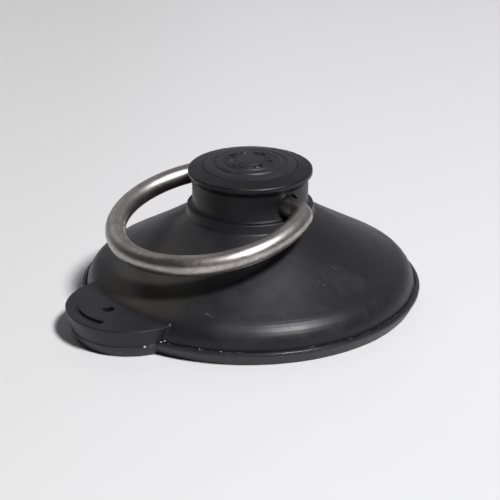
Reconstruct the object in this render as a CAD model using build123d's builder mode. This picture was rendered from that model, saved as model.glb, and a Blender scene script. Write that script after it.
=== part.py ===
# Suction cup with a D-shaped ring handle.
#
# A soft pad seals on a smooth surface and a firm shell above it carries a hub.
# The ring's two straight ends turn in the hub, and a tab on the rim lets air in.
#
# Millimetres, +Z up.  The origin is on the cup's axis, in the plane that the lip rests on.
# The ring turns about an axis along X.  The tab points to -Y, a little off it.
from build123d import *
from math import atan, atan2, cos, degrees, radians, sin, sqrt
import os

os.makedirs("parts", exist_ok=True)

# ---- driving dimensions -------------------------------------------------------------
rim_radius = 60.0          # widest point of the sealing lip
lip_height = 5.0           # top of the bead round the rim
parting_height = 4.1       # plane where the shell is bonded to the pad
cup_height = 50.4          # top of the hub's cover
bar_diameter = 7.0         # round steel bar of the ring
bore_height = 38.5         # ring's hinge axis above the lip
thread_diameter = 6.0      # stud through the middle
running_gap = 0.05         # radial clearance of a shaft that turns in its bush
seat_gap = 0.05            # clearance of parts that are seated in one another

# sealing pad
lip_base_radius = rim_radius - 2.3
bead_width = 1.5
bead_rounding = 0.5
bead_draft = 0.2           # slope of the bead's inner side
seal_inner_radius = 51.0
cavity_height = 10.0
flat_radius = 18.0         # level middle of the membrane
membrane_thickness = 3.2
membrane_middle = (37.0, 6.2)  # the curved underside passes through this radius and height
ridge_count = 3
ridge_pitch = 1.8
ridge_depth = 0.4

# shell
foot_radius = 58.1
shoulder = (57.2, 10.9)    # radius and height where the side and the cone would meet
shoulder_rounding = 9.5
cone_middle = (34.3, 23.95)
collar_radius = 22.05
collar_foot_height = 31.1
collar_height = 34.3
collar_draft = 0.3
collar_foot_rounding = 0.9
collar_edge_rounding = 0.35
wall_thickness = 4.2
hollow_rounding = 5.0
boss_radius = 24.0
boss_rounding = 2.0

# hub
neck_radius = 20.2
hub_foot_radius = 20.9
hub_foot_top = 34.75
hub_foot_rounding = 0.2
hub_floor = 28.9
head_radius = 21.7
head_underside = 43.8
head_lower_edge = 45.7
head_upper_edge = 47.2
head_rounding = 0.6
cover_radius = 16.3
cover_step = 0.2           # the cover stands this far above the hub round it
cover_gap = 0.15
cover_rounding = 0.3
cover_grooves = ((12.4, 0.35), (9.3, 0.22), (5.4, 0.22))  # radius and depth of each
spigot_wall = 1.5
bush_wall = 0.9
bush_length = 10.0
bore_end = 8.0             # blind end of each bore, measured from the hub's axis
nut_pocket_radius = 6.5
nut_pocket_floor = 36.0
head_pocket_radius = 12.2
head_pocket_floor = 43.5

# ring
ring_droop = 11.3          # angle that the ring hangs below level
ring_shift = 0.75          # end play, taken up towards +X
hoop_radius = 33.1         # centre line of the large arc
hoop_offset = 18.9         # large arc's centre to the hinge axis
bend_radius = 5.5
ring_end = 9.2             # inner end of each straight leg, from the middle of the ring
ring_end_chamfer = 0.5

# release tab
tab_turn = -1.9            # the hub isn't keyed, so the tab sits off the ring's plane
tab_reach = 51.2           # tab's centre from the cup's axis
tab_base_radius = 19.4     # lower layer of the tab, at the bottom
tab_ledge_radius = 21.2    # lower layer of the tab, where the block stands on it
tab_foot_radius = 21.0     # block, where it stands on the lower layer
tab_block_radius = 22.6    # block, at the top
tab_block_top = 10.5
tab_rounding = 0.5
tab_hole_radius = 1.9
tab_hole_place = (-0.95, -60.2)
recess_shift = 1.8         # the recess is cut about a point this far to the tab's -X side
recess_radius = 17.3       # inner wall of the finger recess
recess_width = 3.0
recess_flat = 0.5          # level strip of the recess's floor
recess_depth = 0.9
recess_angle = 54.0

# inside
plate_radius = 21.0
plate_thickness = 2.0
plate_chamfer = 0.4
plate_hole_count = 6
plate_hole_radius = 2.5
plate_hole_circle = 14.0
gasket_thickness = 1.0
stud_head_radius = 6.5
stud_head_thickness = 1.5
stud_top = 43.0
stud_chamfer = 0.5
thread_pitch = 1.0
thread_depth = 0.45
washer_radius = 6.2
washer_thickness = 1.6
washer_chamfer = 0.2
nut_height = 5.0
nut_width = 10.0           # across the flats

# ---- values worked out from them ----------------------------------------------------
bar_radius = bar_diameter / 2
bush_radius = bar_radius + running_gap + bush_wall
ceiling_height = cavity_height + membrane_thickness
plate_top = ceiling_height + plate_thickness
thread_radius = thread_diameter / 2
shank_hole_radius = thread_radius + 0.2
recess_seat = hub_floor - gasket_thickness
cover_floor = head_upper_edge - 0.1
tab_plane = Plane.XY.rotated((0, 0, tab_turn))
tab_centre = (0, -tab_reach)
above = 0.2                # cutters start this far above the face that they cut

# The shell's wall is even, so its hollow runs parallel to the cone and the side.
cone_foot_radius = collar_radius + collar_draft
cone_slope = (collar_foot_height - shoulder[1]) / (shoulder[0] - cone_foot_radius)
hollow_side = foot_radius - wall_thickness
bond_inner_radius = hollow_side - 1.2

# The tab's side leans outwards going up, and more so in the lower layer.
layer_lean = degrees(atan((tab_ledge_radius - tab_base_radius) / parting_height))
block_rise = tab_block_top - parting_height
block_lean = degrees(atan((tab_block_radius - tab_foot_radius) / block_rise))

# The cap's top is a shallow sphere through its crown and its edge.
crown_drop = cup_height - head_upper_edge
crown_radius = (head_radius**2 + crown_drop**2) / (2 * crown_drop)


def crown_height(radius):
    """Height of the shallow domed top at a distance from the axis."""
    return cup_height - crown_radius + sqrt(crown_radius**2 - radius**2)


def hollow_height(radius):
    """Height of the hollow's ceiling below the cone at a distance from the axis."""
    outside = collar_foot_height - cone_slope * (radius - cone_foot_radius)
    return outside - wall_thickness * sqrt(1 + cone_slope**2)


# ---- suction pad: lip, membrane, lower layer of the tab ------------------------------
with BuildPart() as suction_pad:
    with BuildSketch(Plane.XZ):
        with BuildLine():
            ceiling = Line((0, cavity_height), (flat_radius, cavity_height))
            underside = ThreePointArc(ceiling @ 1, membrane_middle, (seal_inner_radius, 0))
            band = Line(underside @ 1, (lip_base_radius, 0))
            side = Line(band @ 1, (rim_radius, lip_height - bead_rounding))
            edge = RadiusArc(side @ 1, (rim_radius - bead_rounding, lip_height), -bead_rounding)
            bead = Line(edge @ 1, (rim_radius - bead_width, lip_height))
            step = Line(bead @ 1, (rim_radius - bead_width - bead_draft, parting_height))
            bond = Line(step @ 1, (bond_inner_radius, parting_height))
            upper_middle = (membrane_middle[0], membrane_middle[1] + membrane_thickness)
            upperside = ThreePointArc(bond @ 1, upper_middle, (flat_radius, ceiling_height))
            centre = Line(upperside @ 1, (0, ceiling_height))
            Line(centre @ 1, (0, cavity_height))
        make_face()
        fillet(vertices().sort_by_distance(bead @ 1)[0], 0.3)
    revolve(axis=Axis.Z)
    # lower layer of the tab, which stands a little proud of the block
    with BuildSketch(tab_plane.offset(parting_height)):
        with Locations(tab_centre):
            Circle(tab_ledge_radius)
        Circle(seal_inner_radius, mode=Mode.SUBTRACT)
    extrude(amount=-parting_height, taper=layer_lean)
    # the bead stops where the tab's block stands
    with BuildSketch(tab_plane.offset(parting_height)):
        with Locations(tab_centre):
            Circle(tab_ledge_radius + seat_gap)
        Circle(foot_radius, mode=Mode.SUBTRACT)
    extrude(amount=lip_height, mode=Mode.SUBTRACT)
    # fine grooves leave sealing ridges on the band that touches the surface
    with BuildSketch(Plane.XZ):
        for index in range(ridge_count):
            with Locations((seal_inner_radius + ridge_pitch * (index + 1), 0)):
                RegularPolygon(ridge_depth, 4)
    revolve(axis=Axis.Z, mode=Mode.SUBTRACT)
    # pocket for the stud's flat head
    with BuildSketch(Plane.XY.offset(ceiling_height - stud_head_thickness)):
        Circle(stud_head_radius)
    extrude(amount=stud_head_thickness, mode=Mode.SUBTRACT)
    # pips that key into the plate's holes
    with BuildSketch(Plane.XY.offset(ceiling_height)):
        with PolarLocations(plate_hole_circle, plate_hole_count):
            Circle(plate_hole_radius)
    extrude(amount=plate_thickness)
suction_pad.part.label = "suction_pad"
export_step(suction_pad.part, "parts/suction_pad.step")

# ---- dome shell: cone, collar, upper block of the tab --------------------------------
with BuildPart() as dome_shell:
    with BuildSketch(Plane.XZ):
        with BuildLine():
            side = Line((foot_radius, parting_height), shoulder)
            cone = ThreePointArc(shoulder, cone_middle, (cone_foot_radius, collar_foot_height))
            collar = Line(cone @ 1, (collar_radius, collar_height))
            Polyline(collar @ 1, (0, collar_height), (0, parting_height), side @ 0)
        make_face()
        fillet(vertices().sort_by_distance(side @ 1)[0], shoulder_rounding)
        fillet(vertices().sort_by_distance(cone @ 1)[0], collar_foot_rounding)
        fillet(vertices().sort_by_distance(collar @ 1)[0], collar_edge_rounding)
    revolve(axis=Axis.Z)
    # upper block of the tab
    with BuildSketch(tab_plane.offset(parting_height)):
        with Locations(tab_centre):
            Circle(tab_foot_radius)
        Circle(hollow_side, mode=Mode.SUBTRACT)
    extrude(amount=block_rise, taper=-block_lean)
    # hollow between the shell and the membrane, round the central boss
    with BuildSketch(Plane.XZ):
        hollow_corner = (hollow_side, hollow_height(hollow_side))
        boss_corner = (boss_radius, hollow_height(boss_radius))
        with BuildLine():
            Polyline(
                (boss_radius, 0),
                boss_corner,
                hollow_corner,
                (hollow_side, 0),
                close=True,
            )
        make_face()
        fillet(vertices().sort_by_distance(hollow_corner)[0], hollow_rounding)
        fillet(vertices().sort_by_distance(boss_corner)[0], boss_rounding)
    revolve(axis=Axis.Z, mode=Mode.SUBTRACT)
    # room for the plate and the membrane below the boss
    with BuildSketch(Plane.XY):
        Circle(boss_radius + 1)
    extrude(amount=plate_top, mode=Mode.SUBTRACT)
    # seat of the hub, and the stud's hole below it
    with BuildSketch(Plane.XY.offset(recess_seat)):
        Circle(neck_radius + seat_gap)
    extrude(amount=collar_height, mode=Mode.SUBTRACT)
    with BuildSketch(Plane.XY.offset(plate_top)):
        Circle(shank_hole_radius)
    extrude(amount=recess_seat, mode=Mode.SUBTRACT)
    # round the tab's upper rim before its hole and finger recess are cut
    block_rim = [
        edge
        for edge in edges().filter_by(GeomType.CIRCLE)
        if abs(edge.radius - tab_block_radius) < 0.01 and edge.center().Z > tab_block_top - 0.1
    ]
    fillet(block_rim, tab_rounding)
    with BuildSketch(tab_plane.offset(tab_block_top)):
        with Locations(tab_hole_place):
            Circle(tab_hole_radius)
    extrude(amount=parting_height - tab_block_top, mode=Mode.SUBTRACT)
    # finger recess: a wedge with a steep inner wall and a floor that rises to the rim
    recess_start = radians(-90 + tab_turn - recess_angle / 2)
    recess_plane = Plane(
        origin=tab_plane.from_local_coords((-recess_shift, -tab_reach, 0)),
        x_dir=(cos(recess_start), sin(recess_start), 0),
        z_dir=(sin(recess_start), -cos(recess_start), 0),
    )
    with BuildSketch(recess_plane):
        with BuildLine():
            Polyline(
                (recess_radius, tab_block_top + above),
                (recess_radius, tab_block_top - recess_depth),
                (recess_radius + recess_flat, tab_block_top - recess_depth),
                (recess_radius + recess_width, tab_block_top),
                (recess_radius + recess_width, tab_block_top + above),
                close=True,
            )
        make_face()
    recess_axis = Axis(recess_plane.origin, (0, 0, 1))
    revolve(axis=recess_axis, revolution_arc=recess_angle, mode=Mode.SUBTRACT)
dome_shell.part.label = "dome_shell"
export_step(dome_shell.part, "parts/dome_shell.step")

# ---- hub: neck, mushroom head, blind bores for the ring ------------------------------
with BuildPart() as hub:
    with BuildSketch(Plane.XZ):
        with BuildLine():
            outside = Polyline(
                (shank_hole_radius, hub_floor),
                (neck_radius, hub_floor),
                (neck_radius, collar_height),
                (hub_foot_radius, collar_height),
                (hub_foot_radius, hub_foot_top),
                (neck_radius, hub_foot_top),
                (neck_radius, head_underside),
                (head_radius, head_lower_edge),
                (head_radius, head_upper_edge),
            )
            seat_radius = cover_radius + cover_gap
            seat_edge = (seat_radius, crown_height(seat_radius) - cover_step)
            crown = RadiusArc(outside @ 1, seat_edge, -crown_radius)
            Polyline(
                crown @ 1,
                (seat_radius, cover_floor),
                (head_pocket_radius, cover_floor),
                (head_pocket_radius, head_pocket_floor),
                (nut_pocket_radius, head_pocket_floor),
                (nut_pocket_radius, nut_pocket_floor),
                (shank_hole_radius, nut_pocket_floor),
                outside @ 0,
            )
        make_face()
        fillet(vertices().sort_by_distance(outside @ 1)[0], head_rounding)
        fillet(vertices().sort_by_distance((head_radius, head_lower_edge))[0], head_rounding)
        fillet(vertices().sort_by_distance((neck_radius, head_underside))[0], head_rounding)
        fillet(vertices().sort_by_distance((hub_foot_radius, hub_foot_top))[0], hub_foot_rounding)
    revolve(axis=Axis.Z)
    bore_depth = hub_foot_radius + above - bore_end
    for bore_start in (bore_end, -hub_foot_radius - above):
        with BuildSketch(Plane.YZ.offset(bore_start)):
            with Locations((0, bore_height)):
                Circle(bush_radius)
        extrude(amount=bore_depth, mode=Mode.SUBTRACT)
hub.part.label = "hub"
export_step(hub.part, "parts/hub.step")

# ---- hub cover: domed disc with fine ring grooves and a spigot -----------------------
with BuildPart() as hub_cover:
    with BuildSketch(Plane.XZ):
        with BuildLine():
            cover_edge = (cover_radius, crown_height(cover_radius))
            lower = Polyline((0, cover_floor), (cover_radius, cover_floor), cover_edge)
            top = RadiusArc(lower @ 1, (0, cup_height), -crown_radius)
            Line(top @ 1, lower @ 0)
        make_face()
        fillet(vertices().sort_by_distance(cover_edge)[0], cover_rounding)
    revolve(axis=Axis.Z)
    with BuildSketch(Plane.XZ):
        for groove_radius, groove_depth in cover_grooves:
            with Locations((groove_radius, crown_height(groove_radius))):
                Circle(groove_depth)
    revolve(axis=Axis.Z, mode=Mode.SUBTRACT)
    spigot_radius = head_pocket_radius - 2 * seat_gap
    spigot_end = head_pocket_floor + 0.6
    with BuildSketch(Plane.XY.offset(spigot_end)):
        Circle(spigot_radius)
        Circle(spigot_radius - spigot_wall, mode=Mode.SUBTRACT)
    extrude(amount=cover_floor - spigot_end)
hub_cover.part.label = "hub_cover"
export_step(hub_cover.part, "parts/hub_cover.step")

# ---- ring: round bar bent to a D, its straight ends in the hub -----------------------
droop = radians(ring_droop)
ring_plane = Plane(
    origin=(ring_shift, 0, bore_height),
    x_dir=(1, 0, 0),
    z_dir=(0, sin(droop), -cos(droop)),
)
bend_centre = sqrt((hoop_radius - bend_radius) ** 2 - (hoop_offset - bend_radius) ** 2)
hoop_start = degrees(atan2(bend_radius - hoop_offset, bend_centre))
bend_sweep = 90 + hoop_start
with BuildPart() as ring:
    with BuildLine(ring_plane) as ring_path:
        Line((ring_end, 0), (bend_centre, 0))
        CenterArc((bend_centre, bend_radius), bend_radius, -90, bend_sweep)
        CenterArc((0, hoop_offset), hoop_radius, hoop_start, 180 - 2 * hoop_start)
        CenterArc((-bend_centre, bend_radius), bend_radius, 180 - hoop_start, bend_sweep)
        Line((-bend_centre, 0), (-ring_end, 0))
    with BuildSketch(Plane(origin=(ring_shift + ring_end, 0, bore_height), z_dir=(1, 0, 0))):
        Circle(bar_radius)
    sweep(path=ring_path.line)
    chamfer(faces().filter_by(GeomType.PLANE).edges(), ring_end_chamfer)
ring.part.label = "ring"
export_step(ring.part, "parts/ring.step")

# ---- bushes that line the two bores --------------------------------------------------
with BuildPart() as bush_right:
    with BuildSketch(Plane.YZ.offset(bore_end + seat_gap)):
        with Locations((0, bore_height)):
            Circle(bush_radius)
            Circle(bar_radius + running_gap, mode=Mode.SUBTRACT)
    extrude(amount=bush_length)
bush_right.part.label = "bush_right"
export_step(bush_right.part, "parts/bush_right.step")

with BuildPart() as bush_left:
    mirror(bush_right.part, about=Plane.YZ)
bush_left.part.label = "bush_left"
export_step(bush_left.part, "parts/bush_left.step")

# ---- load plate: steel disc with holes that the pad keys into ------------------------
with BuildPart() as load_plate:
    with BuildSketch(Plane.XY.offset(ceiling_height)):
        Circle(plate_radius)
        Circle(shank_hole_radius, mode=Mode.SUBTRACT)
        with PolarLocations(plate_hole_circle, plate_hole_count):
            Circle(plate_hole_radius, mode=Mode.SUBTRACT)
    extrude(amount=plate_thickness)
    chamfer(edges().filter_by(GeomType.CIRCLE).group_by(SortBy.RADIUS)[-1], plate_chamfer)
load_plate.part.label = "load_plate"
export_step(load_plate.part, "parts/load_plate.step")

# ---- centre stud: flat head below the plate, thread through the nut ------------------
with BuildPart() as centre_stud:
    with BuildSketch(Plane.XY.offset(ceiling_height - stud_head_thickness)):
        Circle(stud_head_radius)
    extrude(amount=stud_head_thickness)
    with BuildSketch(Plane.XY.offset(ceiling_height)):
        Circle(thread_radius)
    extrude(amount=stud_top - ceiling_height)
    chamfer(faces().sort_by(Axis.Z)[-1].edges(), stud_chamfer)
    # the thread is drawn as a row of V grooves above the nut's seat
    groove_count = int((stud_top - nut_pocket_floor) / thread_pitch)
    groove_half = 0.4 * thread_pitch
    with BuildSketch(Plane.XZ):
        for index in range(groove_count):
            height = nut_pocket_floor + thread_pitch * (index + 0.5)
            with BuildLine():
                Polyline(
                    (thread_radius - thread_depth, height),
                    (thread_radius + 0.1, height - groove_half),
                    (thread_radius + 0.1, height + groove_half),
                    close=True,
                )
            make_face()
    revolve(axis=Axis.Z, mode=Mode.SUBTRACT)
centre_stud.part.label = "centre_stud"
export_step(centre_stud.part, "parts/centre_stud.step")

# ---- gasket under the hub ------------------------------------------------------------
with BuildPart() as hub_gasket:
    with BuildSketch(Plane.XY.offset(recess_seat)):
        Circle(neck_radius)
        Circle(shank_hole_radius + 1, mode=Mode.SUBTRACT)
    extrude(amount=gasket_thickness)
hub_gasket.part.label = "hub_gasket"
export_step(hub_gasket.part, "parts/hub_gasket.step")

# ---- washer and nut on the stud ------------------------------------------------------
with BuildPart() as stud_washer:
    with BuildSketch(Plane.XY.offset(nut_pocket_floor)):
        Circle(washer_radius)
        Circle(shank_hole_radius, mode=Mode.SUBTRACT)
    extrude(amount=washer_thickness)
    chamfer(edges().filter_by(GeomType.CIRCLE).group_by(SortBy.RADIUS)[-1], washer_chamfer)
stud_washer.part.label = "stud_washer"
export_step(stud_washer.part, "parts/stud_washer.step")

with BuildPart() as stud_nut:
    with BuildSketch(Plane.XY.offset(nut_pocket_floor + washer_thickness)):
        RegularPolygon(nut_width / 2, 6, major_radius=False)
        Circle(thread_radius, mode=Mode.SUBTRACT)
    extrude(amount=nut_height)
stud_nut.part.label = "stud_nut"
export_step(stud_nut.part, "parts/stud_nut.step")
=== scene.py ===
# Looks of a suction cup with a D-shaped ring handle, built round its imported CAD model.
import math

import bmesh
import bpy
from mathutils import Matrix, Vector, noise


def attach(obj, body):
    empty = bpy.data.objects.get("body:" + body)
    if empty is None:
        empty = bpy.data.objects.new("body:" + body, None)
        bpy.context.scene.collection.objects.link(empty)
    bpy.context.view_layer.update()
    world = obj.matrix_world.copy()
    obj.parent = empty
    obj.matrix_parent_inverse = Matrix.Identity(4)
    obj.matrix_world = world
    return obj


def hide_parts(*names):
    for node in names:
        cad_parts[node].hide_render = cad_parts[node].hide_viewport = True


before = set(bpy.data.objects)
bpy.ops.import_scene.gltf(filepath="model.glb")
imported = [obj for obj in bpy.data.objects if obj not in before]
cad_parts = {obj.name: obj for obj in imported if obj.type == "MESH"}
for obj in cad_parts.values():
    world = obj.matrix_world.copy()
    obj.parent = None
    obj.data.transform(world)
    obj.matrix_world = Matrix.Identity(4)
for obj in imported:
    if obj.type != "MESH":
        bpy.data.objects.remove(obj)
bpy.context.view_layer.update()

# ---- sizes: millimetres, the same as the CAD model's ----------------------------------
MM = 0.001
PARTING = 4.1
LIP_TOP = 5.0
RIM_RADIUS = 60.0
LIP_BASE = 57.7
FOOT_RADIUS = 58.1
HOLLOW_RADIUS = 53.9
BOND_RADIUS = 52.7
SEAL_RADIUS = 51.0
FLAT_RADIUS = 18.0
CAVITY_HEIGHT = 10.0
MEMBRANE_TOP = 13.2
RIDGE_PITCH = 1.8
RIDGE_SIZE = 0.4
BOSS_RADIUS = 24.0
PLATE_TOP = 15.2
STUD_HOLE = 3.2
SHOULDER = (57.2, 10.9)
COLLAR_FOOT = (22.35, 31.1)
COLLAR_TOP = (22.05, 34.3)
CONE_SAG = 0.25
SEAT_RADIUS = 20.25
SEAT_HEIGHT = 27.9
TAB_TURN = -1.9
TAB_REACH = 51.2
TAB_BASE = 19.4
TAB_LEDGE = 21.2
TAB_FOOT = 21.0
TAB_BLOCK = 22.6
TAB_TOP = 10.5
HOLE_RADIUS = 1.9
HOLE_PLACE = (-0.95, -60.2)
RECESS_CENTRE = (-1.8, -51.2)
RECESS_RADIUS = 17.3
RECESS_WIDTH = 3.0
RECESS_HALF_ANGLE = 27.0
NECK_RADIUS = 20.2
HUB_FLOOR = 28.9
HUB_FOOT_RADIUS = 20.9
HUB_FOOT_TOP = 34.75
HEAD_UNDERSIDE = 43.8
HEAD_POCKET = (12.2, 43.5)
NUT_POCKET = (6.5, 36.0)
HEAD_RADIUS = 21.7
HEAD_EDGE = 47.2
BUSH_RADIUS = 4.45
BORE_END = 8.0
COVER_RADIUS = 16.3
COVER_TOP = 50.4
COVER_FLOOR = 47.1
CROWN_RADIUS = 75.2
COVER_GROOVES = ((12.4, 0.55, 0.45), (9.3, 0.5, 0.45), (5.4, 0.35, 0.3), (15.6, 0.2, 0.4))
BAR_RADIUS = 3.5
RING_HEIGHT = 38.5
RING_SHIFT = 0.75
RING_DROOP = math.radians(11.3)
HOOP_RADIUS = 33.1
HOOP_OFFSET = 18.9
BEND_RADIUS = 5.5
RING_END = 9.2


# ---- small helpers --------------------------------------------------------------------
def smooth_step(low, high, value):
    """0 below low, 1 above high, and a smooth ramp between."""
    t = min(max((value - low) / (high - low), 0), 1)
    return t * t * (3 - 2 * t)


def smooth_max(a, b, blend):
    """The larger value, with a rounded change from one to the other."""
    nearness = max(blend - abs(a - b), 0) / blend
    return max(a, b) + nearness * nearness * blend / 4


def rounded(points, roundings):
    """Outline through the points, with an arc of the given radius at each listed point."""
    outline = []
    for index, point in enumerate(points):
        radius = roundings.get(index)
        corner = Vector(point)
        if not radius:
            outline.append(corner)
            continue
        back = (Vector(points[index - 1]) - corner).normalized()
        ahead = (Vector(points[index + 1]) - corner).normalized()
        half = back.angle(ahead) / 2
        reach = radius / math.tan(half)
        centre = corner + (back + ahead).normalized() * radius / math.sin(half)
        start = corner + back * reach - centre
        turn = start.angle_signed(corner + ahead * reach - centre)
        steps = max(4, int(abs(turn) / math.radians(7)))
        for step in range(steps + 1):
            outline.append(centre + Matrix.Rotation(-turn * step / steps, 2) @ start)
    return outline


def refined(outline, longest):
    """The same outline with points added so that no piece is longer than the limit."""
    result = []
    for a, b in zip(outline, outline[1:]):
        count = max(1, math.ceil((b - a).length / longest))
        result += [a.lerp(b, step / count) for step in range(count)]
    return result + [outline[-1]]


def height_on(outline, radius):
    """Height of an outline that runs outwards and down, at a radius."""
    for a, b in zip(outline, outline[1:]):
        if a.x <= radius <= b.x and b.x > a.x:
            return a.y + (b.y - a.y) * (radius - a.x) / (b.x - a.x)
    return outline[-1].y


def radius_on(outline, height):
    """Radius of an outline that runs outwards and down, at a height."""
    for a, b in zip(outline, outline[1:]):
        if b.y <= height <= a.y and a.y > b.y:
            return a.x + (b.x - a.x) * (a.y - height) / (a.y - b.y)
    return outline[-1].x


def tab_edge(radius, angle):
    """Distance from the cup's axis to the far side of a circle round the tab's centre."""
    side = TAB_REACH * math.sin(angle)
    if abs(side) > radius or abs(angle) > math.pi / 2:
        return 0.0
    return TAB_REACH * math.cos(angle) + math.sqrt(radius**2 - side**2)


def block_edge(height, angle):
    """Distance from the cup's axis to the tab's block, whose side leans outwards."""
    share = (height - PARTING) / (TAB_TOP - PARTING)
    return tab_edge(TAB_FOOT + (TAB_BLOCK - TAB_FOOT) * share, angle)


def tab_point(place, height):
    """A place in the tab's own plane as a point of the frame, in metres."""
    turn = math.radians(TAB_TURN)
    x = place[0] * math.cos(turn) - place[1] * math.sin(turn)
    y = place[0] * math.sin(turn) + place[1] * math.cos(turn)
    return Vector((x, y, height)) * MM


def crown_height(radius):
    """Height of the shallow domed top of the hub and its cover at a radius."""
    return COVER_TOP - CROWN_RADIUS + math.sqrt(CROWN_RADIUS**2 - radius**2)


def point_round(radius, angle, height):
    """Point at an angle round the cup from the tab's middle, in millimetres."""
    turn = math.radians(-90 + TAB_TURN) + angle
    return Vector((radius * math.cos(turn), radius * math.sin(turn), height))


def tab_angles():
    """Angles round the cup from the tab's middle, closer together across the tab."""
    angles = []
    angle = -180.0
    while angle < 180:
        angles.append(math.radians(angle))
        angle += 0.2 if abs(angle + 0.1) < 27 else 1.0
    return angles


def mesh_object(name, points, faces, smooth_below=35):
    """A mesh object with smooth faces and sharp edges above an angle."""
    mesh = bpy.data.meshes.new(name)
    mesh.from_pydata([tuple(point) for point in points], [], faces)
    obj = bpy.data.objects.new(name, mesh)
    bpy.context.scene.collection.objects.link(obj)
    tidy_mesh(obj, smooth_below)
    return obj


def tidy_mesh(obj, smooth_below=35):
    """Merges double points, turns the faces outwards and sets the shading."""
    edit = bmesh.new()
    edit.from_mesh(obj.data)
    bmesh.ops.remove_doubles(edit, verts=edit.verts, dist=1e-6)
    bmesh.ops.dissolve_degenerate(edit, edges=edit.edges, dist=1e-7)
    bmesh.ops.recalc_face_normals(edit, faces=edit.faces)
    for face in edit.faces:
        face.smooth = True
    edit.to_mesh(obj.data)
    edit.free()
    obj.data.set_sharp_from_angle(angle=math.radians(smooth_below))


def turned_faces(columns, rows, closed=True):
    """Faces between outlines that stand all round the axis, one column of points each."""
    faces = []
    for column in range(columns):
        here = column * rows
        after = (column + 1) % columns * rows
        for row in range(rows if closed else rows - 1):
            above = (row + 1) % rows
            faces.append((here + row, after + row, after + above, here + above))
    return faces


def tube_faces(loops, around):
    """Faces of a tube through loops of points, with both ends capped."""
    last = (loops - 1) * around
    faces = [tuple(range(around)), tuple(range(last, last + around))]
    for start in range(0, last, around):
        for step in range(around):
            a = start + step
            b = start + (step + 1) % around
            faces.append((a, b, b + around, a + around))
    return faces


def turned(name, angles, outline_at, closed, uneven=0.0):
    """A solid turned about the cup's axis, with its own outline at each angle.

    A closed outline is a loop clear of the axis.  An open one starts and ends on the axis.
    """
    points = []
    for angle in angles:
        outline = outline_at(angle)
        for spot in outline:
            point = point_round(spot.x, angle, spot.y)
            if uneven:
                ripple = noise.noise(point * 0.09) + 0.4 * noise.noise(point * 0.27)
                point *= 1 + uneven * ripple / max(point.length, 1)
            points.append(point * MM)
    return mesh_object(name, points, turned_faces(len(angles), len(outline), closed))


def cut(obj, *cutters):
    """Cuts the cutters out of the object for good, and removes them."""
    for cutter in cutters:
        change = obj.modifiers.new("cut", "BOOLEAN")
        change.operation = "DIFFERENCE"
        change.solver = "EXACT"
        change.object = cutter
    bpy.context.view_layer.update()
    graph = bpy.context.evaluated_depsgraph_get()
    result = bpy.data.meshes.new_from_object(obj.evaluated_get(graph))
    obj.modifiers.clear()
    obj.data = result
    for cutter in cutters:
        bpy.data.objects.remove(cutter)
    tidy_mesh(obj)


# ---- shell ----------------------------------------------------------------------------
def cone_outline():
    """Outside of the shell from the collar's foot to the parting plane, rounded."""
    steps = 26
    cone = []
    for step in range(1, steps):
        t = 0.88 * step / steps
        point = Vector(COLLAR_FOOT).lerp(Vector(SHOULDER), t)
        cone.append((point.x, point.y - CONE_SAG * 4 * t * (1 - t)))
    points = [COLLAR_TOP, COLLAR_FOOT, *cone, SHOULDER, (FOOT_RADIUS, PARTING)]
    return rounded(points, {1: 0.9, len(points) - 2: 9.5})


def shell_maker():
    """Function that gives the shell's closed outline at an angle from the tab's middle."""
    outside = cone_outline()
    upper = rounded(
        [(SEAT_RADIUS, SEAT_HEIGHT), (SEAT_RADIUS, COLLAR_TOP[1]), COLLAR_TOP, COLLAR_FOOT],
        {1: 0.2, 2: 0.4},
    )[:-1]
    split = 50.0
    upper += [point for point in outside[1:] if point.x < split]
    upper = refined(upper, 1.4)
    hollow = [
        (HOLLOW_RADIUS, PARTING),
        (HOLLOW_RADIUS, 8.0),
        (BOSS_RADIUS, 25.3),
        (BOSS_RADIUS, PLATE_TOP),
        (STUD_HOLE, PLATE_TOP),
        (STUD_HOLE, SEAT_HEIGHT),
    ]
    inner = refined(rounded(hollow, {1: 5, 2: 2}), 3.0)
    open_edge = radius_on(outside, TAB_TOP)
    rounding = 0.5

    def outline_at(angle):
        block = tab_edge(TAB_BLOCK, angle)
        on_tab = smooth_step(open_edge, open_edge + 1.2, block - rounding)
        last = max(open_edge, block - rounding)
        outline = list(upper)
        steps = 84
        for step in range(steps):
            radius = split + (last - split) * step / steps
            height = height_on(outside, min(radius, FOOT_RADIUS))
            if on_tab:
                lift = smooth_max(height, TAB_TOP, 1.5) if radius < FOOT_RADIUS else TAB_TOP
                height += (lift - height) * on_tab
            outline.append(Vector((radius, height)))
        for step in range(24):
            turn = math.radians(90) * min(step / 7, 1)
            height = TAB_TOP - rounding * (1 - math.cos(turn))
            if step > 7:
                height -= (height - PARTING) * (step - 7) / 16
            tab_side = block_edge(height, angle) - rounding * (1 - math.sin(turn))
            dome_side = radius_on(outside, height)
            outline.append(Vector((smooth_max(dome_side, tab_side, 0.4), height)))
        return outline + inner

    return outline_at


def make_shell():
    """Cone with its collar and the tab's upper block."""
    shell = turned("shell", tab_angles(), shell_maker(), closed=True, uneven=0.10)
    cut(shell, hole_cutter(), recess_cutter())
    return shell


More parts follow.
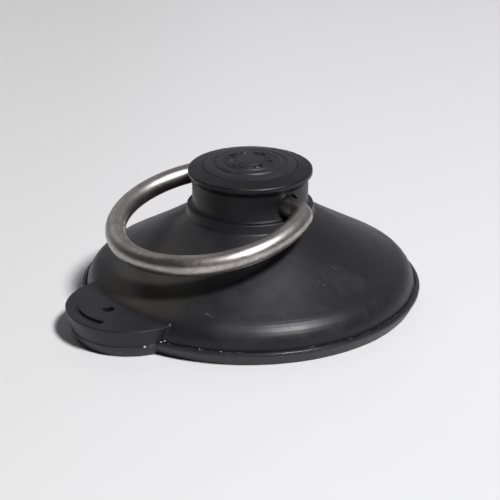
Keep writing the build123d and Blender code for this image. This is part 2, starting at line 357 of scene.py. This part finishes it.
def hole_cutter():
    """Cutter for the tab's blind hole, with a worn lip."""
    levels = [
        (HOLE_RADIUS + 0.35, TAB_TOP + 0.4),
        (HOLE_RADIUS + 0.15, TAB_TOP + 0.02),
        (HOLE_RADIUS + 0.05, TAB_TOP - 0.1),
        (HOLE_RADIUS, TAB_TOP - 0.4),
        (HOLE_RADIUS - 0.1, PARTING + 0.3),
    ]
    around = 48
    points = []
    for radius, height in levels:
        for step in range(around):
            turn = 2 * math.pi * step / around
            wobble = 1 + 0.03 * math.sin(3 * turn + height)
            spot = (
                HOLE_PLACE[0] + radius * wobble * math.cos(turn),
                HOLE_PLACE[1] + radius * wobble * math.sin(turn),
            )
            points.append(tab_point(spot, height))
    return mesh_object("hole_cutter", points, tube_faces(len(levels), around))


def recess_cutter():
    """Cutter for the curved finger recess: a steep inner wall and a floor that rises."""
    steps = 60
    points = []
    for step in range(steps + 1):
        t = step / steps
        turn = math.radians(-90 - RECESS_HALF_ANGLE + 2 * RECESS_HALF_ANGLE * t)
        depth = 0.15 + 0.75 * smooth_step(0, 0.25, t)
        width = RECESS_WIDTH * (0.35 + 0.65 * smooth_step(0, 0.35, t))
        section = [
            (RECESS_RADIUS - 0.25, TAB_TOP + 0.3),
            (RECESS_RADIUS - 0.12, TAB_TOP),
            (RECESS_RADIUS, TAB_TOP - 0.12),
            (RECESS_RADIUS + 0.05, TAB_TOP - depth),
            (RECESS_RADIUS + 0.5, TAB_TOP - depth),
            (RECESS_RADIUS + width, TAB_TOP - 0.05),
            (RECESS_RADIUS + width + 0.6, TAB_TOP + 0.05),
            (RECESS_RADIUS + width + 0.8, TAB_TOP + 0.3),
        ]
        for radius, height in section:
            spot = (
                RECESS_CENTRE[0] + radius * math.cos(turn),
                RECESS_CENTRE[1] + radius * math.sin(turn),
            )
            points.append(tab_point(spot, height))
    return mesh_object("recess_cutter", points, tube_faces(steps + 1, len(section)))


# ---- sealing pad ----------------------------------------------------------------------
def pad_maker():
    """Function that gives the pad's outline at an angle from the tab's middle."""
    under = [Vector((0, CAVITY_HEIGHT)), Vector((FLAT_RADIUS, CAVITY_HEIGHT))]
    for step in range(1, 24):
        t = step / 24
        radius = FLAT_RADIUS + (SEAL_RADIUS - FLAT_RADIUS) * t
        sag = 1 - 0.12 * math.sin(math.pi * t)
        under.append(Vector((radius, CAVITY_HEIGHT * (1 - t**1.9) * sag)))
    under.append(Vector((SEAL_RADIUS, 0)))
    for ridge in range(3):
        middle = SEAL_RADIUS + RIDGE_PITCH * (ridge + 1)
        under.append(Vector((middle - RIDGE_SIZE, 0)))
        under.append(Vector((middle, RIDGE_SIZE)))
        under.append(Vector((middle + RIDGE_SIZE, 0)))
    bead = rounded(
        [(59.8, PARTING), (RIM_RADIUS, 4.5), (59.75, LIP_TOP), (58.5, LIP_TOP), (58.3, PARTING)],
        {1: 0.4, 2: 0.35, 3: 0.3},
    )
    top = []
    for step in range(13):
        t = step / 12
        radius = BOND_RADIUS - (BOND_RADIUS - FLAT_RADIUS) * t
        rise = (MEMBRANE_TOP - PARTING) * smooth_step(-0.25, 1.1, t)
        top.append(Vector((radius, PARTING + rise - 0.5)))
    top[0].y = PARTING
    top[-1].y = MEMBRANE_TOP
    top.append(Vector((0, MEMBRANE_TOP)))

    def outline_at(angle):
        base = max(LIP_BASE, tab_edge(TAB_BASE, angle))
        beaded = 1 - smooth_step(58.5, 60.2, tab_edge(TAB_FOOT, angle))
        outline = list(under)
        outline.append(Vector((base - 0.8, 0)))
        outline.append(Vector((base - 0.35, 0.03)))
        for step in range(11):
            height = 0.12 + (PARTING - 0.12) * step / 10
            share = height / PARTING
            layer = tab_edge(TAB_LEDGE - (TAB_LEDGE - TAB_BASE) * (1 - share) ** 1.4, angle)
            plain = LIP_BASE + (59.9 - LIP_BASE) * share
            outline.append(Vector((smooth_max(plain, layer, 0.5), height)))
        edge = outline[-1].x
        for spot in bead:
            flat = edge - 0.15 - 0.9 * (59.8 - spot.x)
            radius = spot.x * beaded + flat * (1 - beaded)
            height = PARTING + (spot.y - PARTING) * beaded
            outline.append(Vector((radius, height)))
        return outline + top

    return outline_at


def make_pad():
    """Sealing lip with its bead, the hollow under the cup and the tab's lower layer."""
    return turned("pad", tab_angles(), pad_maker(), closed=False, uneven=0.10)


# ---- thin ragged ridges where the two layers were moulded together ---------------------
def make_flash():
    """Ragged ridge along the joint of shell and pad, all the way round."""
    steps = 3200
    points = []
    for step in range(steps):
        angle = -math.pi + 2 * math.pi * step / steps
        block = tab_edge(TAB_FOOT, angle)
        on_tab = smooth_step(58.5, 59.5, block)
        seed = Vector((step * 0.045, 3.1, 0.4))
        rough = max(0, noise.noise(seed) + 0.5 * noise.noise(seed * 3.3))
        corner = math.exp(-(((math.degrees(angle) - 19.5) / 2.0) ** 2))
        radius = 58.2 * (1 - on_tab) + max(block, 58.2) * on_tab
        rough = max(rough, 0.3 * corner)
        reach = (0.08 + rough * 0.35) * (1 - 0.5 * on_tab) + rough * corner
        thick = 0.1 + rough * (0.25 + 0.9 * corner)
        height = PARTING + 0.15 + (0.55 - 0.5 * on_tab) * (0.5 + rough)
        section = [(-0.25, 0), (0, thick), (reach, thick * 0.4), (reach, -thick * 0.4), (0, -thick)]
        for out, up in section:
            points.append(point_round(radius + out, angle, height + up) * MM)
    return mesh_object("mould_flash", points, turned_faces(steps, len(section)), 60)


# angle from the tab's middle, distance from the axis, height and size of each crumb
CRUMBS = (
    (17.9, 63.0, 4.2, 0.5),
    (18.6, 62.0, 4.3, 0.35),
    (21.1, 58.5, 4.9, 0.42),
    (22.4, 58.3, 5.5, 0.32),
)


def make_crumbs():
    """Small pale crumbs of trapped release powder in the corner of the tab's joint."""
    points = []
    faces = []
    for angle, radius, height, size in CRUMBS:
        centre = point_round(radius, math.radians(angle), height)
        ball = bmesh.new()
        bmesh.ops.create_icosphere(ball, subdivisions=2, radius=size)
        first = len(points)
        for vert in ball.verts:
            spoke = vert.co * (1 + 0.5 * noise.noise(vert.co * 2.5 + centre))
            spoke.z *= 0.6
            points.append((centre + spoke) * MM)
        faces += [tuple(first + vert.index for vert in face.verts) for face in ball.faces]
        ball.free()
    return mesh_object("joint_crumbs", points, faces, 60)


# ---- hub cover ------------------------------------------------------------------------
def cover_relief(radius, angle):
    """Height of the cover's grooves and raised marks above its plain domed top."""
    relief = 0.0
    for middle, depth, width in COVER_GROOVES:
        relief -= depth * math.exp(-(((radius - middle) / width) ** 2))
    # a ring of short raised bars of three lengths, with gaps between them
    count = 18
    place = angle / (2 * math.pi) * count
    index = math.floor(place) % count
    length = (0.55, 0.8, 0.4)[index % 3]
    along = abs(place - math.floor(place) - 0.5) * 2
    bar = 1 - smooth_step(length - 0.08, length + 0.08, along)
    if index % 6 == 5:
        bar = 0.0
    inner = 6.1 + 0.5 * (index % 2)
    bar *= smooth_step(inner - 0.12, inner + 0.12, radius) * (1 - smooth_step(8.1, 8.35, radius))
    return relief + 0.55 * bar


def make_cover():
    """Domed disc with fine grooves and a ring of short raised bars."""
    angles = [2 * math.pi * step / 720 for step in range(720)]

    def outline_at(angle):
        outline = [Vector((0, COVER_FLOOR)), Vector((COVER_RADIUS, COVER_FLOOR))]
        steps = 118
        for step in range(steps + 1):
            radius = COVER_RADIUS * (1 - step / steps)
            worn = 0.25 * smooth_step(COVER_RADIUS - 0.5, COVER_RADIUS, radius)
            height = crown_height(radius) - worn + cover_relief(radius, angle)
            outline.append(Vector((radius, height)))
        return outline

    return turned("cover", angles, outline_at, closed=False)


# ---- hub ------------------------------------------------------------------------------
def bore_cutter(side):
    """Cutter for the bore on one side, whose mouth flares along the neck's surface."""
    levels = ((1.5, 0.9), (0.25, 0.5), (0.02, 0.3), (-0.1, 0.12), (-0.3, 0.02), (-0.6, 0.0))
    around = 72
    points = []
    for out, flare in levels:
        for step in range(around):
            turn = 2 * math.pi * step / around
            y = (BUSH_RADIUS + flare) * math.cos(turn)
            z = (BUSH_RADIUS + flare) * math.sin(turn)
            x = math.sqrt(NECK_RADIUS**2 - y**2) + out
            points.append(Vector((side * x, y, RING_HEIGHT + z)) * MM)
    for step in range(around):
        turn = 2 * math.pi * step / around
        y = BUSH_RADIUS * math.cos(turn)
        z = BUSH_RADIUS * math.sin(turn)
        points.append(Vector((side * BORE_END, y, RING_HEIGHT + z)) * MM)
    return mesh_object("bore_cutter", points, tube_faces(len(levels) + 1, around))


def make_hub():
    """Neck with its foot, mushroom head and the two bores."""
    seat = COVER_RADIUS + 0.15
    points = [
        (STUD_HOLE, HUB_FLOOR),
        (NECK_RADIUS, HUB_FLOOR),
        (NECK_RADIUS, COLLAR_TOP[1]),
        (HUB_FOOT_RADIUS + 0.05, COLLAR_TOP[1]),
        (HUB_FOOT_RADIUS, HUB_FOOT_TOP),
        (NECK_RADIUS, HUB_FOOT_TOP + 0.1),
        (NECK_RADIUS, HEAD_UNDERSIDE),
        (HEAD_RADIUS - 0.05, HEAD_UNDERSIDE + 1.8),
        (HEAD_RADIUS, HEAD_EDGE),
        (seat, crown_height(seat) - 0.2),
        (seat, COVER_FLOOR),
        (HEAD_POCKET[0], COVER_FLOOR),
        HEAD_POCKET,
        (NUT_POCKET[0], HEAD_POCKET[1]),
        NUT_POCKET,
        (STUD_HOLE, NUT_POCKET[1]),
        (STUD_HOLE, HUB_FLOOR),
    ]
    roundings = {3: 0.1, 4: 0.22, 5: 0.25, 6: 0.8, 7: 0.5, 8: 0.75, 9: 0.15}
    outline = refined(rounded(points, roundings), 1.2)[:-1]
    angles = [2 * math.pi * step / 300 for step in range(300)]
    hub = turned("hub_body", angles, lambda angle: outline, closed=True, uneven=0.06)
    cut(hub, bore_cutter(1), bore_cutter(-1))
    return hub


# ---- ring -----------------------------------------------------------------------------
def ring_path():
    """Centre line of the ring in its own plane, from one end to the other."""
    flat = math.sqrt((HOOP_RADIUS - BEND_RADIUS) ** 2 - (HOOP_OFFSET - BEND_RADIUS) ** 2)
    start = math.atan2(BEND_RADIUS - HOOP_OFFSET, flat)
    half = [(x, 0.0) for x in [RING_END + (flat - RING_END) * step / 14 for step in range(14)]]
    for step in range(16):
        turn = -math.pi / 2 + (start + math.pi / 2) * step / 16
        half.append((
            flat + BEND_RADIUS * math.cos(turn),
            BEND_RADIUS + BEND_RADIUS * math.sin(turn),
        ))
    steps = 130
    for step in range(steps):
        turn = start + (math.pi / 2 - start) * step / steps
        half.append((HOOP_RADIUS * math.cos(turn), HOOP_OFFSET + HOOP_RADIUS * math.sin(turn)))
    middle = [(0.0, HOOP_OFFSET + HOOP_RADIUS)]
    return half + middle + [(-x, y) for x, y in reversed(half)]


def make_ring():
    """Round steel bar along the ring's centre line, with chamfered ends."""
    across = Vector((1, 0, 0))
    down = Vector((0, -math.cos(RING_DROOP), -math.sin(RING_DROOP)))
    normal = across.cross(down)
    origin = Vector((RING_SHIFT, 0, RING_HEIGHT))
    path = [origin + across * x + down * y for x, y in ring_path()]
    around = 56
    points = []
    along = []
    travelled = 0.0
    for index, place in enumerate(path):
        before = path[max(index - 1, 0)]
        after = path[min(index + 1, len(path) - 1)]
        heading = (after - before).normalized()
        sideways = heading.cross(normal)
        travelled += (place - before).length
        radius = BAR_RADIUS
        if index in (0, len(path) - 1):
            radius -= 0.5
        # the bar isn't perfectly even after bending
        radius *= 1 + 0.004 * noise.noise(Vector((travelled * 0.08, 7.7, 0)))
        for step in range(around):
            turn = 2 * math.pi * step / around
            spoke = sideways * math.cos(turn) + normal * math.sin(turn)
            points.append((place + spoke * radius) * MM)
            along.append(travelled)
    ring = mesh_object("steel_ring", points, tube_faces(len(path), around))
    distance = ring.data.attributes.new("along", "FLOAT", "POINT")
    distance.data.foreach_set("value", along)
    return ring


# ---- materials ------------------------------------------------------------------------
class Paint:
    """A material being built from nodes."""

    def __init__(self, name):
        self.material = bpy.data.materials.new(name)
        self.material.use_nodes = True
        self.tree = self.material.node_tree
        self.shader = self.tree.nodes["Principled BSDF"]
        place = self.tree.nodes.new("ShaderNodeTexCoord")
        self.place = place.outputs["Object"]

    def node(self, kind, inputs=(), **settings):
        """Adds a node.  Inputs are values or other nodes' outputs, by name or number."""
        node = self.tree.nodes.new(kind)
        for name, value in settings.items():
            setattr(node, name, value)
        for name, value in dict(inputs).items():
            if isinstance(value, bpy.types.NodeSocket):
                self.tree.links.new(value, node.inputs[name])
            else:
                node.inputs[name].default_value = value
        return node

    def set(self, name, value):
        """Sets or links an input of the shader."""
        if isinstance(value, bpy.types.NodeSocket):
            self.tree.links.new(value, self.shader.inputs[name])
        else:
            self.shader.inputs[name].default_value = value

    def math(self, operation, a, b=0.0, c=0.0, clamp=False):
        """Result of a sum on up to three values."""
        inputs = {0: a, 1: b, 2: c}
        return self.node("ShaderNodeMath", inputs, operation=operation, use_clamp=clamp).outputs[0]

    def vector(self, operation, a, b=(0, 0, 0)):
        """Result of a sum on two vectors."""
        node = self.node("ShaderNodeVectorMath", {0: a, 1: b}, operation=operation)
        return node.outputs["Value" if operation in ("DOT_PRODUCT", "LENGTH", "DISTANCE") else 0]

    def noise(self, size, detail=3.0, stretch=(1, 1, 1), place=None, twist=0.0):
        """Noise with features of about the given size in millimetres."""
        place = self.vector("MULTIPLY", place or self.place, stretch)
        node = self.node(
            "ShaderNodeTexNoise",
            {"Vector": place, "Scale": 1 / (size * MM), "Detail": detail, "Distortion": twist},
        )
        return node.outputs["Fac"]

    def remap(self, value, low, high, to_low=0.0, to_high=1.0):
        """Smooth change from one value to another as the input goes from low to high."""
        node = self.node(
            "ShaderNodeMapRange",
            {"Value": value, "From Min": low, "From Max": high, "To Min": to_low,
             "To Max": to_high},
            interpolation_type="SMOOTHSTEP",
        )
        return node.outputs["Result"]

    def mix(self, factor, a, b):
        """Mixes two colours."""
        node = self.node("ShaderNodeMix", {0: factor, 6: a, 7: b}, data_type="RGBA")
        return node.outputs[2]

    def near(self, centre, radius):
        """1 at a point of the object and 0 beyond a radius, both in millimetres."""
        distance = self.vector("DISTANCE", self.place, [value * MM for value in centre])
        return self.remap(distance, 0.0, radius * MM, 1.0, 0.0)

    def scratch(self, start, end, width):
        """1 on the line between two points of the surface, fading over the width."""
        start = Vector(start) * MM
        run = Vector(end) * MM - start
        offset = self.vector("SUBTRACT", self.place, start)
        share = self.vector("DOT_PRODUCT", offset, run)
        share = self.math("DIVIDE", share, run.length_squared, clamp=True)
        foot = self.node("ShaderNodeVectorMath", {0: run, "Scale": share}, operation="SCALE")
        distance = self.vector("DISTANCE", offset, foot.outputs[0])
        return self.remap(distance, 0.0, width * MM, 1.0, 0.0)

    def bump(self, height, depth, onto=None):
        """Bump of the given depth in millimetres, on top of another bump if one is given."""
        inputs = {"Height": height, "Distance": depth * MM}
        if onto:
            inputs["Normal"] = onto
        return self.node("ShaderNodeBump", inputs).outputs["Normal"]


def grey(value, warmth=-0.08):
    """A grey colour, a little cool unless it's made warmer."""
    return (value * (1 + warmth), value * (1 + warmth), value * (1 - 2 * warmth), 1)


SCUFFS = (
    ((36.4, 2.0, 22.5), (40.0, 4.7, 20.3), 0.35),
    ((40.9, -5.8, 19.7), (43.6, -4.2, 18.3), 0.3),
    ((27.0, -42.8, 14.4), (30.2, -42.0, 13.5), 0.5),
    ((30.2, -42.0, 13.5), (33.6, -41.0, 11.9), 0.4),
)


# centre, radius and colour against the rubber's own of each patch of painted light on the shell: a
# warm glow on the dome above the tab and a sheen on the cone under the ring
PAINTED_LIGHT_PATCHES = (
    ((-2, -50, 14), 34, (3.43, 3.16, 2.62)),
    ((33, -19, 22), 21, (1.95, 1.92, 2.1)),
)


def add_painted_light(paint, colour, shade, level):
    """The colour with the shell's patches of painted light laid over it, clear of the tab."""
    above_tab = paint.remap(level, (TAB_TOP + 0.3) * MM, (TAB_TOP + 2) * MM)
    for centre, radius, tint in PAINTED_LIGHT_PATCHES:
        lit_patch = paint.math("MULTIPLY", paint.near(centre, radius), above_tab)
        colour = paint.mix(lit_patch, colour, (*[shade * value for value in tint], 1))
    return colour


def scuff_marks(paint):
    """1 on the shell's broken scuffs and 0 elsewhere."""
    marks = 0.0
    for start, end, width in SCUFFS:
        marks = paint.math("MAXIMUM", marks, paint.scratch(start, end, width))
    return paint.math("MULTIPLY", marks, paint.remap(paint.noise(1.1, 3), 0.36, 0.6))


def painted_hole_shade(paint, level):
    """1 inside the tab's hole, which painted shade darkens, and 0 elsewhere."""
    spot = tab_point(HOLE_PLACE, 0)
    inside = paint.near((spot.x / MM, spot.y / MM, TAB_TOP - 2.2), 3.0)
    inside = paint.math("MULTIPLY", inside, 6.0, clamp=True)
    below = paint.remap(level, (TAB_TOP - 0.4) * MM, (TAB_TOP - 0.1) * MM, 1.0, 0.0)
    return paint.math("MULTIPLY", inside, below)


def rubber(name, shade, gloss, with_scuffs_and_painted_light=False, bead_gloss=0.0):
    """Moulded rubber with faint dust and a fine grain, and for the shell its scuffs, patches of
    painted light and painted shade in the tab's hole.
    """
    paint = Paint(name)
    level = paint.node("ShaderNodeSeparateXYZ", {0: paint.place}).outputs["Z"]
    cloud = paint.remap(paint.noise(26, 4, twist=0.6), 0.35, 0.7)
    smudge = paint.remap(paint.noise(9, 5, twist=1.2), 0.42, 0.68)
    speck = paint.remap(paint.noise(0.9, 2), 0.69, 0.78)
    worn = paint.math("MULTIPLY", cloud, smudge)
    dusty = paint.math("MULTIPLY_ADD", speck, 0.35, worn, clamp=True)
    colour = paint.mix(dusty, grey(shade), grey(shade * 1.45, -0.05))
    roughness = paint.math("MULTIPLY_ADD", worn, 0.09, gloss)
    roughness = paint.math("MULTIPLY_ADD", paint.noise(0.8, 2), 0.06, roughness)
    if bead_gloss:
        bead = paint.remap(level, 4.2 * MM, 4.5 * MM, 0.0, bead_gloss)
        roughness = paint.math("SUBTRACT", roughness, bead)
    normal = paint.bump(paint.noise(5.5, 2), 0.03)
    normal = paint.bump(paint.noise(0.35, 2), 0.006, normal)
    if with_scuffs_and_painted_light:
        marks = scuff_marks(paint)
        # painted shade: the inside of the tab's hole is darkened to near black
        hole_shade = painted_hole_shade(paint, level)
        # patches of painted light: a warm glow above the tab and a sheen under the ring
        colour = add_painted_light(paint, colour, shade, level)
        colour = paint.mix(paint.math("MULTIPLY", marks, 0.8), colour, grey(0.16))
        colour = paint.mix(hole_shade, colour, grey(0.001))
        roughness = paint.math("MULTIPLY_ADD", marks, -0.12, roughness)
        roughness = paint.math("MULTIPLY_ADD", hole_shade, 0.5, roughness)
        normal = paint.bump(marks, -0.04, normal)
    paint.set("Base Color", colour)
    paint.set("Roughness", roughness)
    paint.set("Specular IOR Level", 0.4)
    paint.set("Normal", normal)
    return paint.material


def plastic(name, shade, gloss):
    """Satin moulded plastic with faint handling marks."""
    paint = Paint(name)
    smudge = paint.remap(paint.noise(7, 5, twist=0.8), 0.42, 0.7)
    colour = paint.mix(smudge, grey(shade), grey(shade * 1.35, -0.04))
    paint.set("Base Color", colour)
    roughness = paint.math("MULTIPLY_ADD", smudge, 0.08, gloss)
    roughness = paint.math("MULTIPLY_ADD", paint.noise(0.7, 2), 0.06, roughness)
    paint.set("Roughness", roughness)
    paint.set("Specular IOR Level", 0.4)
    swell = paint.bump(paint.noise(4, 2), 0.02)
    paint.set("Normal", paint.bump(paint.noise(0.3, 2), 0.005, swell))
    return paint.material


def satin_steel():
    """Stainless bar, worn satin, with fine scratches along and round it."""
    paint = Paint("satin_steel")
    along = paint.node("ShaderNodeAttribute", attribute_name="along").outputs["Fac"]
    cloud = paint.remap(paint.noise(11, 4, twist=0.5), 0.35, 0.68)
    patch = paint.remap(paint.noise(2.4, 5, twist=1.0), 0.4, 0.66)
    fine = paint.noise(0.5, 3)
    colour = paint.mix(cloud, (0.38, 0.36, 0.34, 1), (0.56, 0.53, 0.50, 1))
    colour = paint.mix(paint.math("MULTIPLY", patch, 0.5), colour, (0.32, 0.295, 0.27, 1))
    paint.set("Base Color", colour)
    paint.set("Metallic", 1.0)
    roughness = paint.math("MULTIPLY_ADD", patch, 0.08, 0.32)
    roughness = paint.math("MULTIPLY_ADD", fine, 0.06, roughness)
    paint.set("Roughness", roughness)
    place = paint.node("ShaderNodeCombineXYZ", {"X": paint.math("MULTIPLY", along, 0.001)})
    rings = paint.noise(0.7, 2, place=place.outputs[0])
    swell = paint.bump(paint.noise(9.0, 1), 0.012)
    grain = paint.bump(fine, 0.0026, swell)
    paint.set("Normal", paint.bump(rings, 0.0015, grain))
    return paint.material


def plain_metal(name, shade, gloss):
    """Zinc-plated steel of the hidden parts."""
    paint = Paint(name)
    cloud = paint.remap(paint.noise(3, 4), 0.35, 0.7)
    paint.set("Base Color", paint.mix(cloud, grey(shade), grey(shade * 0.75, 0.04)))
    paint.set("Metallic", 1.0)
    paint.set("Roughness", paint.math("MULTIPLY_ADD", cloud, 0.12, gloss))
    paint.set("Normal", paint.bump(paint.noise(0.4, 3), 0.01))
    return paint.material


def floor_paint():
    """Matt white card with painted shade: a little darker near the camera and to its left."""
    paint = Paint("white_card")
    away = paint.vector("DOT_PRODUCT", paint.place, tuple(-value for value in VIEW_LEVEL))
    left = paint.vector("DOT_PRODUCT", paint.place, (VIEW_LEVEL[1], -VIEW_LEVEL[0], 0))
    # painted shade and light: these colour steps stand in for light falling off across the card
    near = (0.85, 0.847, 0.865, 1)
    middle = (0.87, 0.862, 0.885, 1)
    far = (0.88, 0.872, 0.888, 1)
    left_shade = (0.82, 0.815, 0.82, 1)
    colour = paint.mix(paint.remap(away, -0.13, -0.03), near, middle)
    colour = paint.mix(paint.remap(away, -0.05, 0.4), colour, far)
    colour = paint.mix(paint.remap(left, -0.02, 0.1), colour, left_shade)
    paint.set("Base Color", colour)
    paint.set("Roughness", 0.8)
    paint.set("Specular IOR Level", 0.1)
    grain = paint.bump(paint.noise(0.9, 3), 0.01)
    paint.set("Normal", grain)
    return paint.material


# ---- camera ---------------------------------------------------------------------------
VIEW_AZIMUTH = math.radians(49.5)
VIEW_ELEVATION = math.radians(23.36)
VIEW_ROLL = math.radians(-0.17)
VIEW_DISTANCE = 0.6035
VIEW_TARGET = Vector((-0.0001, -0.0001, 0.016))
VIEW_LENS = 122.95
VIEW_LEVEL = (math.sin(VIEW_AZIMUTH), -math.cos(VIEW_AZIMUTH), 0.0)


def make_camera():
    """Long-lens camera at the front right, a little above the cup."""
    back = Vector(VIEW_LEVEL) * math.cos(VIEW_ELEVATION)
    back.z = math.sin(VIEW_ELEVATION)
    data = bpy.data.cameras.new("camera")
    data.lens = VIEW_LENS
    data.sensor_width = 36
    camera = bpy.data.objects.new("camera", data)
    bpy.context.scene.collection.objects.link(camera)
    camera.location = VIEW_TARGET + back * VIEW_DISTANCE
    turn = (-back).to_track_quat("-Z", "Y").to_matrix() @ Matrix.Rotation(VIEW_ROLL, 3, "Z")
    camera.rotation_euler = turn.to_euler()
    bpy.context.scene.camera = camera


# ---- floor and light ------------------------------------------------------------------
def make_floor():
    """Large round card under the cup."""
    around = 96
    edge = []
    for step in range(around):
        turn = 2 * math.pi * step / around
        edge.append((2.4 * math.cos(turn), 2.4 * math.sin(turn), -0.02 * MM))
    floor = mesh_object("floor_card", edge, [tuple(range(around))])
    if floor.data.polygons[0].normal.z < 0:
        floor.data.flip_normals()
    floor.data.materials.append(floor_paint())


def make_softbox(name, direction, distance, size, radiance, tint=(1, 1, 1), fills=True):
    """Square soft light aimed at the cup.

    The direction is how far towards the camera, to its right and up the light stands.
    A light that doesn't fill is only seen in reflections.
    """
    level = Vector(VIEW_LEVEL)
    right = Vector((-level.y, level.x, 0))
    data = bpy.data.lights.new(name, "AREA")
    data.shape = "SQUARE"
    data.size = size
    data.color = tint
    data.energy = radiance * math.pi * size**2
    light = bpy.data.objects.new(name, data)
    bpy.context.scene.collection.objects.link(light)
    place = level * direction[0] + right * direction[1] + Vector((0, 0, direction[2]))
    light.location = place.normalized() * distance
    light.rotation_euler = (-light.location).to_track_quat("-Z", "Y").to_euler()
    light.visible_diffuse = fills


def make_world():
    """Dim studio room, brighter behind the cup than in front of it."""
    world = bpy.data.worlds.new("studio")
    bpy.context.scene.world = world
    world.use_nodes = True
    tree = world.node_tree
    place = tree.nodes.new("ShaderNodeTexCoord")
    behind = tree.nodes.new("ShaderNodeVectorMath")
    behind.operation = "DOT_PRODUCT"
    behind.inputs[1].default_value = [-value for value in VIEW_LEVEL]
    ramp = tree.nodes.new("ShaderNodeMapRange")
    ramp.interpolation_type = "SMOOTHSTEP"
    for name, value in (("From Min", 0.1), ("From Max", 0.9), ("To Min", 0.03), ("To Max", 0.34)):
        ramp.inputs[name].default_value = value
    tree.links.new(place.outputs["Generated"], behind.inputs[0])
    tree.links.new(behind.outputs["Value"], ramp.inputs["Value"])
    tree.links.new(ramp.outputs["Result"], tree.nodes["Background"].inputs["Strength"])
    tree.nodes["Background"].inputs["Color"].default_value = (1.0, 0.98, 1.04, 1)


# ---- put it together ------------------------------------------------------------------
def dress(obj, material, body, nodes):
    """Gives a piece its material, hangs it under its body and hides the CAD nodes it stands for."""
    obj.data.materials.clear()
    obj.data.materials.append(material)
    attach(obj, body)
    if nodes:
        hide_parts(*nodes)


def paint_cad_nodes():
    """Materials of the CAD pieces that are shown as they are."""
    bush = plastic("bush_plastic", 0.05, 0.5)
    plated = plain_metal("plated_steel", 0.55, 0.3)
    sheet = rubber("gasket_rubber", 0.016, 0.55)
    finishes = {
        "bush_right": bush,
        "bush_left": bush,
        "load_plate": plated,
        "centre_stud": plated,
        "stud_washer": plated,
        "stud_nut": plated,
        "hub_gasket": sheet,
    }
    for name, material in finishes.items():
        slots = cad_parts[name].data.materials
        slots.clear()
        slots.append(material)


shell_rubber = rubber("shell_rubber", 0.0135, 0.38, with_scuffs_and_painted_light=True)
pad_rubber = rubber("pad_rubber", 0.026, 0.42, bead_gloss=0.22)
# the flash's rubber is paler than the rest, as painted glints along the joint
flash_rubber = rubber("flash_rubber", 0.05, 0.15)
pale_crumbs = rubber("pale_crumbs", 0.62, 0.3)
dress(make_shell(), shell_rubber, "cup", ["dome_shell"])
dress(make_pad(), pad_rubber, "cup", ["suction_pad"])
dress(make_flash(), flash_rubber, "cup", [])
dress(make_crumbs(), pale_crumbs, "cup", [])
dress(make_hub(), plastic("hub_plastic", 0.007, 0.36), "cup", ["hub"])
dress(make_cover(), plastic("cover_plastic", 0.0195, 0.42), "cup", ["hub_cover"])
dress(make_ring(), satin_steel(), "ring", ["ring"])
paint_cad_nodes()
make_floor()
make_softbox("key", (0.57, 0.45, 1.0), 2.3, 0.36, 136)
make_softbox("overhead", (0.26, 0.3, 0.94), 2.2, 0.8, 5.2, (1.0, 0.97, 1.1), fills=False)
make_softbox("warm_wall", (-0.57, -0.5, 0.65), 2.0, 1.1, 0.3, (1.0, 0.93, 0.8))
make_world()
make_camera()
bpy.context.scene.view_settings.view_transform = "Standard"
